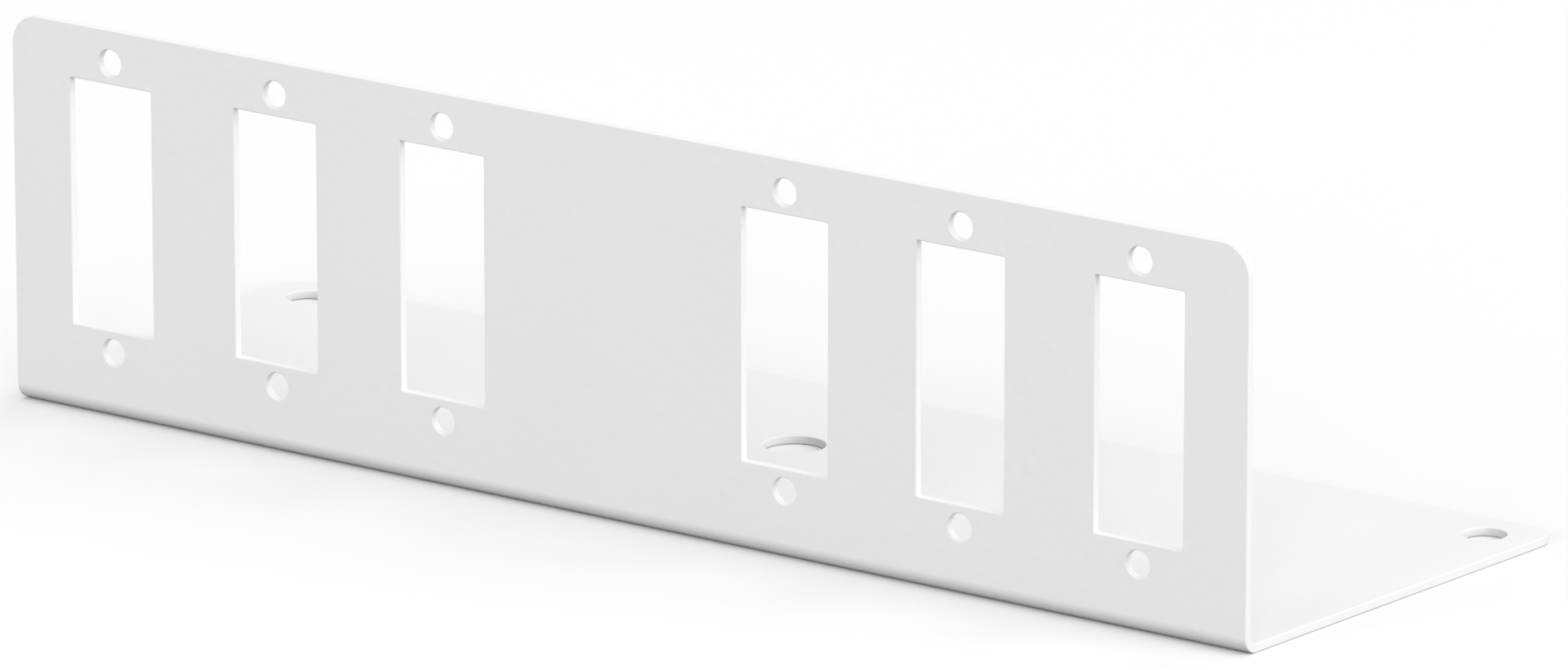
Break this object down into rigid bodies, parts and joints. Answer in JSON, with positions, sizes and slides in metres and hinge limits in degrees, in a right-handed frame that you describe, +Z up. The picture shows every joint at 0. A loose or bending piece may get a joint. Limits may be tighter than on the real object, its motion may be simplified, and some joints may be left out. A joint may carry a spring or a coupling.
{
  "type": "angle bracket",
  "caption": "Folded sheet angle bracket: an upright plate with a row of connector cut-outs and screw holes, on a base with mounting holes that widens to the rear.",
  "frame": {"origin": "middle of the bracket's box in X and Y, on the underside of the base", "axes": "+X along the row of connectors, +Y from the plate's front face to the base's rear edge, +Z up"},
  "size_m": [0.1728, 0.0552, 0.0448],
  "materials": {
    "coated_sheet": "satin powder coat, near white"
  },
  "bodies": {
    "root": {"angle_bracket": "coated_sheet"}
  },
  "joints": []
}
